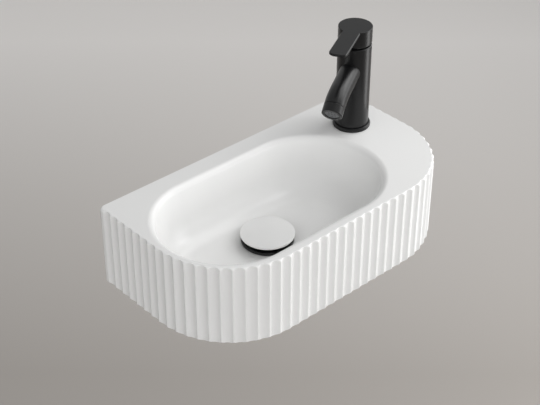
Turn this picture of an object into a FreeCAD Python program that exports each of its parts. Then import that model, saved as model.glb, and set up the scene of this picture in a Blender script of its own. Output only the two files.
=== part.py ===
import FreeCAD, Part
import math
import os

from FreeCAD import Vector

# Wall-hung hand basin with a fluted skirt, a single-lever mixer tap and a press-to-close waste.
# Millimetres. +Z is up, the wall is the plane y = 0 and the front faces -Y.
# The origin lies on the wall, midway between the two wall bolts.

# Basin
BASIN_WIDTH = 400.0
BASIN_DEPTH = 214.0
BASIN_HEIGHT = 106.0
CORNER_R = 108.0
RIM_ABOVE_BOLTS = 66.0
BACK_CORNER_R = 5.0
RIM_EDGE_R = 1.6
FOOT_EDGE_R = 2.5
SKIRT_WALL = 11.0
BACK_WALL = 12.0
DECK_WALL = 12.0
HOLLOW_CORNER_R = 12.0

# Flutes round the skirt: concave channels between rounded ridges
FLUTE_PITCH = 13.8
FLUTE_R = 8.25
RIDGE_R = 2.75
FLUTE_MARGIN = 8.2
FLUTE_FOOT_SHARE = 0.35
FLUTE_RIM_SHARE = 0.04
FLUTE_RUN_OUT = 2.3

# Bowl: an oval with round ends, set to the left of the tap ledge
BOWL_LEFT_RIM = 7.0
BOWL_FRONT_RIM = 10.0
BOWL_BACK_RIM = 22.0
TAP_LEDGE = 79.0
BOWL_DEPTH = 69.0
BOWL_ROLL_R = 9.0
BOWL_LEAN = 12.0
FLOOR_HALF_WIDTH = 37.7
FLOOR_WALL = 10.0
DRAIN_RIGHT = 1.0
DRAIN_BACK = 7.0

# Wall fixing
BOLT_SPACING = 200.0
BOLT_R = 5.0
BOLT_WOOD_R = 4.75
BOLT_IN_WALL = 55.0
BOLT_TIP = 10.0
BOLT_TAIL = 5.0
BOLT_NECK_START = 1.0
BOLT_NECK_LENGTH = 2.0
BOLT_NECK_DEPTH = 0.8
BUSH_WALL = 0.9
BUSH_FLANGE_R = 11.0
BUSH_FLANGE_T = 3.0
WALL_WASHER_R = 10.0
WALL_WASHER_T = 2.0
WALL_NUT_FLATS = 17.0
WALL_NUT_H = 8.0

# Waste and plug
WASTE_THREAD_R = 20.95
WASTE_BORE_R = 17.5
WASTE_HOLE_R = 23.0
WASTE_TAIL = 70.0
THREAD_RELIEF_DROP = 1.0
THREAD_RELIEF_H = 1.5
THREAD_RELIEF_DEPTH = 0.95
FLANGE_R = 32.0
FLANGE_T = 3.0
FLANGE_EDGE_R = 1.2
FLANGE_MOUTH_R = 24.0
FLANGE_MOUTH_H = 6.0
FLANGE_SEAL_T = 1.0
FLANGE_SEAL_R = 29.0
UNDER_SEAL_R = 30.0
UNDER_SEAL_H = 5.0
UNDER_SEAL_TAPER = 3.0
SLIP_WASHER_R = 29.0
SLIP_WASHER_T = 1.5
BACKNUT_FLATS = 52.0
BACKNUT_H = 9.0
SPIDER_RIBS = 3
SPIDER_RIB_T = 3.0
SPIDER_H = 10.0
SPIDER_WALL = 2.0
SPIDER_DROP = 12.0
CLICK_R = 8.0
CLICK_WALL = 1.6
CLICK_LENGTH = 28.0
CLICK_TOP_DROP = 5.0
PLUG_R = 32.8
PLUG_EDGE = 2.4
PLUG_DOME = 4.6
PLUG_SHELL = 1.6
PLUG_GAP = 5.5
PLUG_STOP_GAP = 0.3
PLUG_SEAL_H = 3.0
PLUG_SEAL_WALL = 3.0
PLUG_BOSS_R = 6.0
PLUG_STEM_R = 2.5
PLUG_COLLAR_H = 3.0
SPRING_WIRE_R = 0.6
SPRING_TURNS = 6

# Tap, measured from its own axis and from the top of the deck
TAP_FROM_SIDE = 53.0
TAP_FROM_WALL = 61.3
TAP_HEADING = 208.7
TAP_HOLE_R = 17.5
TAP_R = 21.0
TAP_TOP = 114.0
TAP_TOP_CHAMFER = 0.8
BASE_GASKET_T = 1.2
BASE_GASKET_R = 23.2
BASE_RING_R = 23.8
BASE_RING_EDGE = 3.4
BASE_RING_TOP = 5.0
BASE_RING_LIP = 1.2
BASE_SEAT = 4.0
SPIGOT_R = 15.5
SPIGOT_FOOT = 1.6
INLET_R = 4.5
INLET_DEPTH = 14.0
INLET_DUCT_R = 3.0
INLET_U = 4.5
INLET_SPACING = 13.0
OUTLET_DUCT_R = 2.6
OUTLET_U = 9.5

# Spout
SPOUT_R = 12.8
SPOUT_BORE_R = 5.5
SPOUT_ROOT_Z = 84.8
SPOUT_SLOPE = 7.5
SPOUT_RUN = 58.0
SPOUT_BEND_R = 55.0
SPOUT_BEND = 25.0
SPOUT_BORE_START = 10.5
AERATOR_LENGTH = 11.5
AERATOR_SPIGOT = 6.0
AERATOR_SPIGOT_R = 10.8
AERATOR_BORE_R = 9.7
AERATOR_LIP = 1.0
AERATOR_EDGE = 0.6
INSERT_LENGTH = 7.0
INSERT_HOLE_R = 1.1
INSERT_HOLE_RINGS = 2
INSERT_HOLE_PITCH = 3.2
AERATOR_SEAL_T = 1.4
AERATOR_SEAL_BORE_R = 7.5

# Cartridge inside the tap
CARTRIDGE_R = 12.5
CARTRIDGE_SEAT = 89.0
CARTRIDGE_WALL = 1.7
CARTRIDGE_NECK_R = 10.1
CARTRIDGE_TOP = 113.0
CARTRIDGE_BASE_T = 3.0
CARTRIDGE_SEAL_T = 0.8
PORT_R = 2.4
FIXED_DISC_T = 3.5
MOVING_DISC_R = 8.0
MOVING_DISC_T = 3.5
MOVING_DISC_RECESS = 2.0
CARRIER_SHOULDER = 110.0
CARRIER_NECK_R = 8.3
CARRIER_TOP = 114.0
PIVOT_Z = 107.5
PIN_R = 1.5
PIN_HALF = 9.5
STEM_WIDTH = 8.0
STEM_FOOT_R = 2.6
STEM_TOP = 129.0
NUT_R = 15.0
NUT_SHOULDER = 109.0
NUT_SLOTS = 4
NUT_SLOT_W = 3.0
NUT_SLOT_H = 1.5
COVER_R = 16.5
COVER_TOP_R = 13.0
COVER_T = 2.0

# Handle
HANDLE_TOP = 137.6
HANDLE_GAP = 1.0
HANDLE_WALL = 3.0
HANDLE_PLATE = 5.0
HANDLE_FOOT_CHAMFER = 1.7
HANDLE_FOOT_RISE = 3.2
HANDLE_EDGE_R = 0.8
BOSS_R = 8.0
BOSS_FOOT = 120.0
LIFT_ANGLE = 16.0
RELIEF_START_U = 2.0
RELIEF_EXTRA = 1.0
BLADE_WIDTH = 22.0
BLADE_REACH = 78.0
BLADE_T = 3.4
BLADE_CORNER_R = 7.0
BLADE_EDGE = 0.8
GRUB_R = 2.0
GRUB_LENGTH = 8.0
GRUB_Z = 124.5

# Tap fixing under the deck
STUD_R = 4.0
STUD_U = -9.5
STUD_IN_BODY = 11.0
STUD_BELOW_NUT = 20.0
HORSESHOE_R = 22.0
HORSESHOE_SLOT = 25.0
HORSESHOE_BACK = 4.0
RUBBER_HORSESHOE_T = 3.0
STEEL_HORSESHOE_T = 2.5
STUD_NUT_FLATS = 13.0
STUD_NUT_H = 6.5

# Clearances
THREAD_GAP = 0.05
RUNNING_GAP = 0.08
LOOSE_GAP = 0.3
SEAT_GAP = 0.02
ROLL_GAP = 0.3
OVERSHOOT = 5.0

Z_UP = Vector(0, 0, 1)


def ring(outer_r, inner_r, low, high):
    outer = Part.makeCylinder(outer_r, high - low, Vector(0, 0, low))
    return outer.cut(Part.makeCylinder(inner_r, high - low + 2, Vector(0, 0, low - 1)))


def rod(radius, low, high, x=0.0, y=0.0):
    return Part.makeCylinder(radius, high - low, Vector(x, y, low))


def section_face(steps):
    """Closed face in the XZ plane. A step is (r, z), or two such points for an arc through them."""
    edges = []
    start = Vector(steps[0][0], 0, steps[0][1])
    here = start
    for step in list(steps[1:]) + [steps[0]]:
        if isinstance(step[0], tuple):
            middle = Vector(step[0][0], 0, step[0][1])
            there = Vector(step[1][0], 0, step[1][1])
            edges.append(Part.Arc(here, middle, there).toShape())
        else:
            there = Vector(step[0], 0, step[1])
            if (there - here).Length > 1e-6:
                edges.append(Part.makeLine(here, there))
        here = there
    return Part.Face(Part.Wire(edges))


def turned(steps):
    return section_face(steps).revolve(Vector(0, 0, 0), Z_UP, 360)


def hexagon(flats, low, high):
    corner = flats / math.sqrt(3)
    points = []
    for k in range(7):
        angle = math.radians(60 * k)
        points.append(Vector(corner * math.cos(angle), corner * math.sin(angle), low))
    return Part.Face(Part.makePolygon(points)).extrude(Vector(0, 0, high - low))


def hex_nut(flats, bore_r, low, high):
    """Hexagon nut with its corners turned off at both ends."""
    chamfer = flats * 0.06
    corner = flats / math.sqrt(3)
    blank = turned([
        (0, low), (corner - chamfer, low), (corner, low + chamfer * 0.6),
        (corner, high - chamfer * 0.6), (corner - chamfer, high), (0, high)])
    nut = hexagon(flats, low, high).common(blank)
    return nut.cut(rod(bore_r, low - 1, high + 1))


class Basin:
    """Places and curves of the glazed body. Rim heights are negative downwards from the deck."""

    rim = RIM_ABOVE_BOLTS
    half = BASIN_WIDTH / 2
    side = BASIN_DEPTH - CORNER_R
    front = BASIN_WIDTH - 2 * CORNER_R
    arc = CORNER_R * math.pi / 2
    length = 2 * side + 2 * arc + front

    bowl_r = (BASIN_DEPTH - BOWL_FRONT_RIM - BOWL_BACK_RIM) / 2
    bowl_y = -(BOWL_BACK_RIM + bowl_r)
    bowl_x0 = -half + BOWL_LEFT_RIM
    bowl_x1 = half - TAP_LEDGE
    bowl_x = (bowl_x0 + bowl_x1) / 2
    bowl_half = (bowl_x1 - bowl_x0) / 2
    roll_drop = BOWL_ROLL_R - ROLL_GAP
    roll_r = bowl_r + ROLL_GAP
    reach = bowl_half - bowl_r
    floor_z = RIM_ABOVE_BOLTS - BOWL_DEPTH
    under_floor_z = floor_z - FLOOR_WALL
    under_deck_z = RIM_ABOVE_BOLTS - DECK_WALL
    drain_x = bowl_x + DRAIN_RIGHT
    drain_y = bowl_y + DRAIN_BACK
    tap_x = half - TAP_FROM_SIDE
    tap_y = -TAP_FROM_WALL
    foot_z = RIM_ABOVE_BOLTS - BASIN_HEIGHT


def on_outline(s, depth):
    """Point at distance s along the skirt from the back left corner, depth inside its ridges."""
    b = Basin
    if s <= b.side:
        return Vector(-b.half + depth, -s, 0)
    s -= b.side
    if s <= b.arc:
        angle = s / CORNER_R
        r = CORNER_R - depth
        return Vector(-b.half + CORNER_R - r * math.cos(angle), -b.side - r * math.sin(angle), 0)
    s -= b.arc
    if s <= b.front:
        return Vector(-b.half + CORNER_R + s, -BASIN_DEPTH + depth, 0)
    s -= b.front
    if s <= b.arc:
        angle = s / CORNER_R
        r = CORNER_R - depth
        return Vector(b.half - CORNER_R + r * math.sin(angle), -b.side - r * math.cos(angle), 0)
    s -= b.arc
    return Vector(b.half - depth, -b.side + s, 0)


def fluted_wire(inset, share, z):
    """Fluted outline moved in by inset, with its flutes at a share of their full depth."""
    run = Basin.length - 2 * FLUTE_MARGIN
    count = round(run / FLUTE_PITCH)
    pitch = run / count
    both = FLUTE_R + RIDGE_R
    lean = math.asin(pitch / 2 / both)
    deep = both * (1 - math.cos(lean))
    ridge_half = RIDGE_R * math.sin(lean)
    ridge_drop = RIDGE_R * (1 - math.cos(lean))
    quarter_s = RIDGE_R * math.sin(lean / 2)
    quarter_drop = RIDGE_R * (1 - math.cos(lean / 2))

    def at(s, depth):
        return on_outline(s, inset + share * depth) + Vector(0, 0, z)

    def arc(first, middle, last):
        return Part.Arc(at(*first), at(*middle), at(*last)).toShape()

    first = FLUTE_MARGIN
    last = Basin.length - FLUTE_MARGIN
    left = -Basin.half + inset
    right = Basin.half - inset
    c = BACK_CORNER_R
    near = c * (1 - math.sqrt(0.5))
    left_back = Vector(left + c, 0, z)
    left_side = Vector(left, -c, z)
    right_back = Vector(right - c, 0, z)
    right_side = Vector(right, -c, z)
    edges = [Part.Arc(left_back, Vector(left + near, -near, z), left_side).toShape()]
    edges.append(Part.makeLine(left_side, at(first, 0)))
    edges.append(arc((first, 0), (first + quarter_s, quarter_drop), (first + ridge_half, ridge_drop)))
    for k in range(count):
        crest = first + k * pitch
        following = crest + pitch
        start = (crest + ridge_half, ridge_drop)
        end = (following - ridge_half, ridge_drop)
        edges.append(arc(start, (crest + pitch / 2, deep), end))
        if k < count - 1:
            edges.append(arc(end, (following, 0), (following + ridge_half, ridge_drop)))
    edges.append(arc((last - ridge_half, ridge_drop), (last - quarter_s, quarter_drop), (last, 0)))
    edges.append(Part.makeLine(at(last, 0), right_side))
    edges.append(Part.Arc(right_side, Vector(right - near, -near, z), right_back).toShape())
    edges.append(Part.makeLine(right_back, left_back))
    return Part.Wire(edges)


def fluted_block():
    """Solid skirt: its flutes stop under a thin rim and run out at a rounded foot."""
    half_turn = 1 - math.sqrt(0.5)
    foot_in = FOOT_EDGE_R * half_turn
    rim_in = RIM_EDGE_R * half_turn
    low = Basin.foot_z
    high = Basin.rim
    run_out = high - RIM_EDGE_R - FLUTE_RUN_OUT
    levels = [
        (FOOT_EDGE_R, FLUTE_FOOT_SHARE, low),
        (foot_in, (1 + FLUTE_FOOT_SHARE) / 2, low + foot_in),
        (0.0, 1.0, low + FOOT_EDGE_R),
        (0.0, 1.0, run_out),
        (0.0, 0.5, run_out + FLUTE_RUN_OUT * 0.75),
        (0.0, FLUTE_RIM_SHARE, high - RIM_EDGE_R),
        (rim_in, FLUTE_RIM_SHARE, high - rim_in),
        (RIM_EDGE_R, FLUTE_RIM_SHARE, high)]
    return Part.makeLoft([fluted_wire(*level) for level in levels], True, True)


def plain_wire(inset, back_y, back_corner_r=0.0):
    """Skirt outline without flutes, moved in by inset and closed along y = back_y."""
    b = Basin
    h = b.half - inset
    r = CORNER_R - inset
    f = -BASIN_DEPTH + inset
    diagonal = r * (1 - math.sqrt(0.5))
    edges = []
    c = back_corner_r
    left_top = Vector(-h, back_y - c, 0)
    right_top = Vector(h, back_y - c, 0)
    edges.append(Part.makeLine(left_top, Vector(-h, -b.side, 0)))
    edges.append(Part.Arc(
        Vector(-h, -b.side, 0), Vector(-h + diagonal, f + diagonal, 0), Vector(-h + r, f, 0)).toShape())
    edges.append(Part.makeLine(Vector(-h + r, f, 0), Vector(h - r, f, 0)))
    edges.append(Part.Arc(
        Vector(h - r, f, 0), Vector(h - diagonal, f + diagonal, 0), Vector(h, -b.side, 0)).toShape())
    edges.append(Part.makeLine(Vector(h, -b.side, 0), right_top))
    if c > 0:
        k = c * (1 - math.sqrt(0.5))
        edges.append(Part.Arc(
            right_top, Vector(h - k, back_y - k, 0), Vector(h - c, back_y, 0)).toShape())
        edges.append(Part.makeLine(Vector(h - c, back_y, 0), Vector(-h + c, back_y, 0)))
        edges.append(Part.Arc(
            Vector(-h + c, back_y, 0), Vector(-h + k, back_y - k, 0), left_top).toShape())
    else:
        edges.append(Part.makeLine(right_top, left_top))
    return Part.Wire(edges)


def prism(wire, low, high):
    face = Part.Face(wire)
    face.translate(Vector(0, 0, low))
    return face.extrude(Vector(0, 0, high - low))


def bowl_sweep_r():
    """Radius of the sweep that joins the bowl's leaning wall to the edge of its floor."""
    b = Basin
    lean = math.radians(BOWL_LEAN)
    top_r = b.roll_r - BOWL_ROLL_R * math.cos(lean)
    top_z = b.rim - b.roll_drop + BOWL_ROLL_R * math.sin(lean)
    room = top_r - (top_z - b.floor_z) * math.tan(lean) - FLOOR_HALF_WIDTH
    return room / (math.cos(lean) - (1 - math.sin(lean)) * math.tan(lean))


def sweep_steps(grow):
    """Bowl profile from the middle of the floor up to the wall, grown outwards by grow."""
    sweep_r = bowl_sweep_r()
    centre_r = FLOOR_HALF_WIDTH
    centre_z = Basin.floor_z + sweep_r
    r = sweep_r + grow

    def on_sweep(angle):
        return (centre_r + r * math.cos(angle), centre_z - r * math.sin(angle))

    lean = math.radians(BOWL_LEAN)
    middle = (lean + math.radians(90)) / 2
    low = centre_z - r
    return [(0, low), (centre_r, low), (on_sweep(middle), on_sweep(lean))]


def bowl_sweep(steps):
    """Carries a bowl profile round the oval: two half turns and two straight sides."""
    b = Basin
    whole = None
    for side in (-1, 1):
        face = section_face(steps)
        face.rotate(Vector(0, 0, 0), Z_UP, -90 * side)
        end = face.revolve(Vector(0, 0, 0), Z_UP, 180)
        end.translate(Vector(b.bowl_x + side * b.reach, b.bowl_y, 0))
        face.translate(Vector(b.bowl_x - b.reach, b.bowl_y, 0))
        run = face.extrude(Vector(2 * b.reach, 0, 0))
        for solid in (end, run):
            whole = solid if whole is None else whole.fuse(solid)
    return whole.removeSplitter()


def bowl_inside():
    """The bowl as a cutter: floor, sweep, leaning wall and the rolled rim."""
    b = Basin
    low = b.rim - b.roll_drop
    lean = math.radians(BOWL_LEAN)
    end_angle = math.asin((b.roll_drop + ROLL_GAP * 0.8) / BOWL_ROLL_R)

    def on_roll(angle):
        return (b.roll_r - BOWL_ROLL_R * math.cos(angle), low + BOWL_ROLL_R * math.sin(angle))

    end = on_roll(end_angle)
    top = b.rim + OVERSHOOT
    steps = sweep_steps(0.0)
    steps += [on_roll(lean), (on_roll((lean + end_angle) / 2), end), (end[0], top), (0, top)]
    return bowl_sweep(steps)


def bowl_outside():
    """The underside of the bowl, one wall thickness outside it, up into the deck."""
    steps = sweep_steps(FLOOR_WALL)
    start_r, start_z = steps[-1][1]
    top = Basin.rim - DECK_WALL / 2
    top_r = start_r + (top - start_z) * math.tan(math.radians(BOWL_LEAN))
    return bowl_sweep(steps + [(top_r, top), (0, top)])


def basin():
    b = Basin
    hollow_wire = plain_wire(SKIRT_WALL, -BACK_WALL, HOLLOW_CORNER_R)
    hollow = prism(hollow_wire, b.foot_z - OVERSHOOT, b.under_deck_z)
    hollow = hollow.cut(bowl_outside())
    body = fluted_block().cut(hollow)
    body = body.cut(bowl_inside())
    body = body.cut(rod(TAP_HOLE_R, b.under_deck_z - OVERSHOOT, b.rim + OVERSHOOT, b.tap_x, b.tap_y))
    waste_low = b.under_floor_z - OVERSHOOT
    body = body.cut(rod(WASTE_HOLE_R, waste_low, b.floor_z + OVERSHOOT, b.drain_x, b.drain_y))
    for side in (-1, 1):
        start = Vector(side * BOLT_SPACING / 2, OVERSHOOT, 0)
        hole_r = BOLT_R + BUSH_WALL + 2 * RUNNING_GAP
        body = body.cut(Part.makeCylinder(hole_r, BACK_WALL + 2 * OVERSHOOT, start, Vector(0, -1, 0)))
    return body


# Wall fixing: built along +Z, then laid along +Y with the wall at y = 0
BUSH_FACE = -(BACK_WALL + BUSH_FLANGE_T)
WASHER_FACE = BUSH_FACE - WALL_WASHER_T
NUT_FACE = WASHER_FACE - WALL_NUT_H


def at_wall_bolts(piece):
    copies = []
    for side in (-1, 1):
        copy = piece.copy()
        copy.rotate(Vector(0, 0, 0), Vector(1, 0, 0), -90)
        copy.translate(Vector(side * BOLT_SPACING / 2, 0, 0))
        copies.append(copy)
    return Part.makeCompound(copies)


def wall_bolts():
    """Hanger bolts: a pointed end for the wall plug, a neck, a machine end for the nut."""
    shank_end = BOLT_IN_WALL - BOLT_TIP
    neck_r = BOLT_R - BOLT_NECK_DEPTH
    neck_end = BOLT_NECK_START + BOLT_NECK_LENGTH
    return at_wall_bolts(turned([
        (0, NUT_FACE - BOLT_TAIL), (BOLT_R - 1, NUT_FACE - BOLT_TAIL), (BOLT_R, NUT_FACE - BOLT_TAIL + 1),
        (BOLT_R, BOLT_NECK_START), (neck_r, BOLT_NECK_START), (neck_r, neck_end), (BOLT_WOOD_R, neck_end),
        (BOLT_WOOD_R, shank_end), (0, BOLT_IN_WALL)]))


def wall_bolt_bushes():
    bore = BOLT_R + RUNNING_GAP
    sleeve = ring(bore + BUSH_WALL, bore, -BACK_WALL, 0)
    flange = ring(BUSH_FLANGE_R, bore, BUSH_FACE, -BACK_WALL)
    return at_wall_bolts(sleeve.fuse(flange).removeSplitter())


def wall_bolt_washers():
    return at_wall_bolts(ring(WALL_WASHER_R, BOLT_R + LOOSE_GAP, WASHER_FACE, BUSH_FACE))


def wall_bolt_nuts():
    return at_wall_bolts(hex_nut(WALL_NUT_FLATS, BOLT_R + THREAD_GAP, NUT_FACE, WASHER_FACE))


# Waste and plug: built on the drain's own axis, with z = 0 on the bowl floor
FLANGE_LOW = FLANGE_SEAL_T
FLANGE_TOP = FLANGE_LOW + FLANGE_T
MOUTH_LOW = FLANGE_TOP - FLANGE_MOUTH_H
PLUG_LOW = FLANGE_TOP + PLUG_GAP
SPIDER_TOP = FLANGE_LOW - SPIDER_DROP
CLICK_TOP = SPIDER_TOP + CLICK_TOP_DROP
CLICK_LOW = CLICK_TOP - CLICK_LENGTH
CLICK_BORE_R = CLICK_R - CLICK_WALL
PLUG_TRAVEL = PLUG_GAP - PLUG_STOP_GAP
COLLAR_TOP = CLICK_TOP - 1.0
COLLAR_LOW = COLLAR_TOP - PLUG_COLLAR_H
UNDER_SEAL_LOW = -FLOOR_WALL - UNDER_SEAL_H
SLIP_WASHER_LOW = UNDER_SEAL_LOW - SLIP_WASHER_T
BACKNUT_LOW = SLIP_WASHER_LOW - BACKNUT_H


def at_drain(piece):
    piece.translate(Vector(Basin.drain_x, Basin.drain_y, Basin.floor_z))
    return piece


def waste_body():
    """Flange, threaded tail and the three-legged spider that carries the click mechanism."""
    edge = FLANGE_EDGE_R
    slope = math.sqrt(0.5)
    relief_top = BACKNUT_LOW - THREAD_RELIEF_DROP
    relief_low = relief_top - THREAD_RELIEF_H
    relief_r = WASTE_THREAD_R - THREAD_RELIEF_DEPTH
    shell = turned([
        (WASTE_BORE_R, -WASTE_TAIL), (WASTE_THREAD_R - 1, -WASTE_TAIL), (WASTE_THREAD_R, -WASTE_TAIL + 1),
        (WASTE_THREAD_R, relief_low), (relief_r, relief_low), (relief_r, relief_top),
        (WASTE_THREAD_R, relief_top),
        (WASTE_THREAD_R, FLANGE_LOW), (FLANGE_R, FLANGE_LOW), (FLANGE_R, FLANGE_TOP - edge),
        ((FLANGE_R - edge + edge * slope, FLANGE_TOP - edge + edge * slope), (FLANGE_R - edge, FLANGE_TOP)),
        (FLANGE_MOUTH_R, FLANGE_TOP), (WASTE_BORE_R, MOUTH_LOW)])
    boss_r = CLICK_R + THREAD_GAP + SPIDER_WALL
    boss = rod(boss_r, SPIDER_TOP - SPIDER_H, SPIDER_TOP)
    for k in range(SPIDER_RIBS):
        rib = Part.makeBox(
            WASTE_BORE_R + 1, SPIDER_RIB_T, SPIDER_H, Vector(0, -SPIDER_RIB_T / 2, SPIDER_TOP - SPIDER_H))
        rib.rotate(Vector(0, 0, 0), Z_UP, 360 / SPIDER_RIBS * k)
        boss = boss.fuse(rib)
    boss = boss.cut(rod(CLICK_R + THREAD_GAP, SPIDER_TOP - SPIDER_H - 1, SPIDER_TOP + 1))
    return at_drain(shell.fuse(boss).removeSplitter())


def waste_flange_seal():
    return at_drain(ring(FLANGE_SEAL_R, WASTE_THREAD_R + LOOSE_GAP, 0, FLANGE_LOW))


def waste_under_seal():
    """Tapered rubber washer pressed against the underside of the bowl."""
    bore = WASTE_THREAD_R + THREAD_GAP
    return at_drain(turned([
        (bore, UNDER_SEAL_LOW), (UNDER_SEAL_R, UNDER_SEAL_LOW),
        (UNDER_SEAL_R, -FLOOR_WALL - UNDER_SEAL_TAPER), (UNDER_SEAL_R - UNDER_SEAL_TAPER, -FLOOR_WALL),
        (bore, -FLOOR_WALL)]))


def waste_slip_washer():
    return at_drain(ring(SLIP_WASHER_R, WASTE_THREAD_R + LOOSE_GAP, SLIP_WASHER_LOW, UNDER_SEAL_LOW))


def waste_backnut():
    return at_drain(hex_nut(
        BACKNUT_FLATS, WASTE_THREAD_R + THREAD_GAP, BACKNUT_LOW, SLIP_WASHER_LOW))


def plug_cap():
    """Domed cap, hollow below, with a boss for the stem."""
    rim = PLUG_LOW + PLUG_EDGE
    top = rim + PLUG_DOME
    mid_r = PLUG_R * 0.55
    sphere_r = (PLUG_R ** 2 + PLUG_DOME ** 2) / (2 * PLUG_DOME)
    mid_z = top - sphere_r + math.sqrt(sphere_r ** 2 - mid_r ** 2)
    inner_r = PLUG_R - PLUG_SHELL
    inner_mid_r = (inner_r + PLUG_BOSS_R) / 2
    inner_top = top - PLUG_SHELL
    inner_mid_z = inner_top - sphere_r + math.sqrt(sphere_r ** 2 - inner_mid_r ** 2)
    inner_boss_z = inner_top - sphere_r + math.sqrt(sphere_r ** 2 - PLUG_BOSS_R ** 2)
    inner_rim_z = inner_top - sphere_r + math.sqrt(sphere_r ** 2 - inner_r ** 2)
    bore = PLUG_STEM_R + THREAD_GAP
    return at_drain(turned([
        (0, top), ((mid_r, mid_z), (PLUG_R, rim)), (PLUG_R, PLUG_LOW + 0.4), (PLUG_R - 0.4, PLUG_LOW),
        (inner_r, PLUG_LOW), (inner_r, inner_rim_z),
        ((inner_mid_r, inner_mid_z), (PLUG_BOSS_R, inner_boss_z)),
        (PLUG_BOSS_R, PLUG_LOW), (bore, PLUG_LOW), (bore, inner_boss_z), (0, inner_boss_z)]))


def plug_seal():
    """Conical rubber seal that closes on the mouth of the flange."""
    slope = (FLANGE_MOUTH_R - WASTE_BORE_R) / FLANGE_MOUTH_H
    high_r = FLANGE_MOUTH_R - slope * PLUG_STOP_GAP - LOOSE_GAP * 2
    low_r = high_r - slope * PLUG_SEAL_H
    return at_drain(turned([
        (low_r - PLUG_SEAL_WALL, PLUG_LOW - PLUG_SEAL_H), (low_r, PLUG_LOW - PLUG_SEAL_H),
        (high_r, PLUG_LOW), (low_r - PLUG_SEAL_WALL, PLUG_LOW)]))


def plug_carrier():
    """Disc under the cap that holds the seal and is clamped by the stem's shoulder."""
    slope = (FLANGE_MOUTH_R - WASTE_BORE_R) / FLANGE_MOUTH_H
    high_r = FLANGE_MOUTH_R - slope * PLUG_STOP_GAP - LOOSE_GAP * 2
    seal_bore_r = high_r - slope * PLUG_SEAL_H - PLUG_SEAL_WALL
    bore = PLUG_STEM_R + THREAD_GAP
    return at_drain(ring(seal_bore_r - SEAT_GAP, bore, PLUG_LOW - PLUG_SEAL_H, PLUG_LOW))


def plug_stem():
    """Stem from the cap down through the click mechanism, with the collar that takes the spring."""
    collar_r = CLICK_BORE_R - RUNNING_GAP
    stem_low = CLICK_LOW - PLUG_TRAVEL * 0.5
    return at_drain(turned([
        (0, stem_low), (PLUG_STEM_R, stem_low), (PLUG_STEM_R, COLLAR_LOW), (collar_r, COLLAR_LOW),
        (collar_r, COLLAR_TOP), (PLUG_STEM_R, COLLAR_TOP), (PLUG_STEM_R, PLUG_LOW + 2.5),
        (0, PLUG_LOW + 2.5)]))


def click_housing():
    floor_t = CLICK_WALL
    sleeve = ring(CLICK_R, CLICK_BORE_R, CLICK_LOW, CLICK_TOP)
    floor = ring(CLICK_R, PLUG_STEM_R + RUNNING_GAP, CLICK_LOW, CLICK_LOW + floor_t)
    return at_drain(sleeve.fuse(floor).removeSplitter())


def plug_spring():
    """Open coil between the housing floor and the stem's collar, one unbroken wire."""
    coil_r = (CLICK_BORE_R + PLUG_STEM_R) / 2
    low = CLICK_LOW + CLICK_WALL + SPRING_WIRE_R + SEAT_GAP
    high = COLLAR_LOW - SPRING_WIRE_R - SEAT_GAP
    pitch = (high - low) / SPRING_TURNS
    path = Part.makeHelix(pitch, high - low, coil_r)
    path.translate(Vector(0, 0, low))
    section = Part.Wire(Part.makeCircle(SPRING_WIRE_R, Vector(coil_r, 0, low), Vector(0, 1, 0)))
    spring = Part.Wire(path).makePipeShell([section], True, True)
    gap = pitch - 2 * SPRING_WIRE_R
    print("plug_spring: least gap between turns %.2f mm" % gap)
    return at_drain(spring)


# Tap: built on its own axis with z = 0 on the deck and +X along the spout and the lever
def at_tap(piece):
    piece.rotate(Vector(0, 0, 0), Z_UP, TAP_HEADING)
    piece.translate(Vector(Basin.tap_x, Basin.tap_y, Basin.rim))
    return piece


def tap_base_gasket():
    return at_tap(ring(BASE_GASKET_R, TAP_HOLE_R, 0, BASE_GASKET_T))


def tap_base_ring():
    """Stepped trim ring whose recess takes the foot of the tap body."""
    seat_r = TAP_R + RUNNING_GAP
    bore = SPIGOT_R + RUNNING_GAP
    return at_tap(turned([
        (bore, BASE_GASKET_T), (BASE_RING_R, BASE_GASKET_T), (BASE_RING_R, BASE_RING_EDGE),
        (BASE_RING_R - BASE_RING_LIP, BASE_RING_TOP), (seat_r, BASE_RING_TOP), (seat_r, BASE_SEAT),
        (bore, BASE_SEAT)]))


def spout_point(length):
    """Point and heading on the spout's centre line, length past the end of its straight run."""
    slope = math.radians(SPOUT_SLOPE)
    start = Vector(SPOUT_RUN, 0, SPOUT_ROOT_Z - SPOUT_RUN * math.tan(slope))
    turn = min(length / SPOUT_BEND_R, math.radians(SPOUT_BEND))
    end = slope + turn
    across = SPOUT_BEND_R * (math.sin(end) - math.sin(slope))
    down = SPOUT_BEND_R * (math.cos(slope) - math.cos(end))
    heading = Vector(math.cos(end), 0, -math.sin(end))
    beyond = length - turn * SPOUT_BEND_R
    return start + Vector(across, 0, -down) + heading * beyond, heading


BEND_LENGTH = SPOUT_BEND_R * math.radians(SPOUT_BEND)


def spout_tube(radius, start_u):
    """Round bar along the spout: a straight run and one arc."""
    slope = math.radians(SPOUT_SLOPE)
    start = Vector(start_u, 0, SPOUT_ROOT_Z - start_u * math.tan(slope))
    heading = Vector(math.cos(slope), 0, -math.sin(slope))
    bend = [spout_point(share * BEND_LENGTH)[0] for share in (0, 0.5, 1)]
    path = Part.Wire([Part.makeLine(start, bend[0]), Part.Arc(*bend).toShape()])
    section = Part.Wire(Part.makeCircle(radius, start, heading))
    return path.makePipeShell([section], True, True)


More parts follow.
